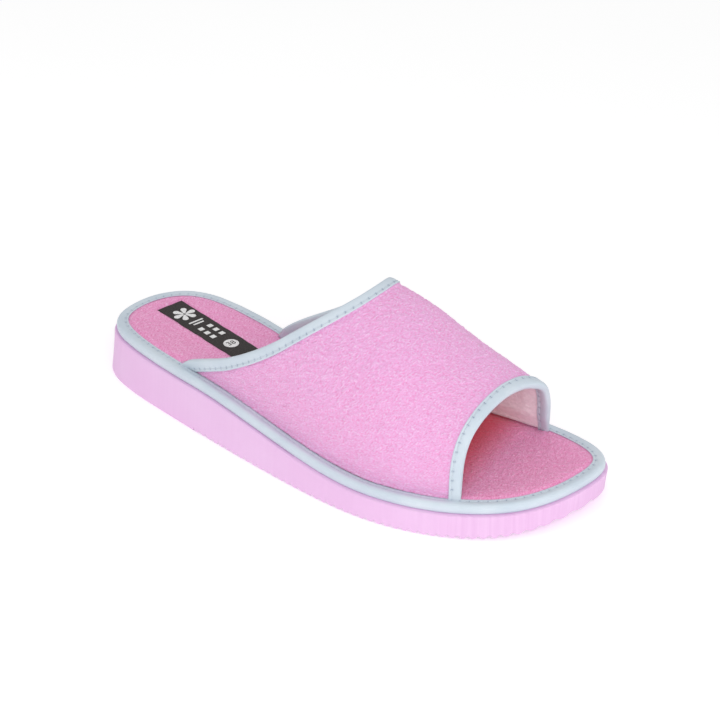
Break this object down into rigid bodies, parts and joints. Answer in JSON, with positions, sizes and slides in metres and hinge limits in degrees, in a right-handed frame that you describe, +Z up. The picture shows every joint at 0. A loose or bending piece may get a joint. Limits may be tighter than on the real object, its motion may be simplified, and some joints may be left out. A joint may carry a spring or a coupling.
{
  "type": "open-toe slipper",
  "caption": "Right-foot open-toe terry slide with a ribbed foam wedge sole, a padded footbed and taped, stitched edges.",
  "frame": {"origin": "on the floor under the middle of the sole's outline box", "axes": "+Z up, toe towards -Y, heel towards +Y, outer (little-toe) side towards -X"},
  "size_m": [0.104, 0.257, 0.085],
  "materials": {
    "sole_foam": "matte closed-cell foam, die-cut wall",
    "board": "pressed fibre board",
    "white_foam": "soft open-cell foam",
    "footbed_terry": "looped cotton terry",
    "upper_terry": "looped cotton terry, dense pile",
    "lining": "brushed knit",
    "tape": "smooth synthetic binding tape, satin",
    "thread": "spun polyester thread",
    "label": "heat-bonded black label, matte",
    "print": "white print"
  },
  "bodies": {
    "root": {"outsole": "sole_foam", "insole_board": "board", "footbed_foam": "white_foam", "footbed_terry": "footbed_terry", "insole_binding": "tape", "insole_needle_thread": "thread", "insole_bobbin_thread": "thread", "vamp_terry": "upper_terry", "vamp_foam": "white_foam", "vamp_lining": "lining", "throat_binding": "tape", "throat_needle_thread": "thread", "throat_bobbin_thread": "thread", "toe_binding": "tape", "toe_needle_thread": "thread", "toe_bobbin_thread": "thread", "size_label": "label", "label_print": "print", "size_disc": "print"}
  },
  "joints": []
}
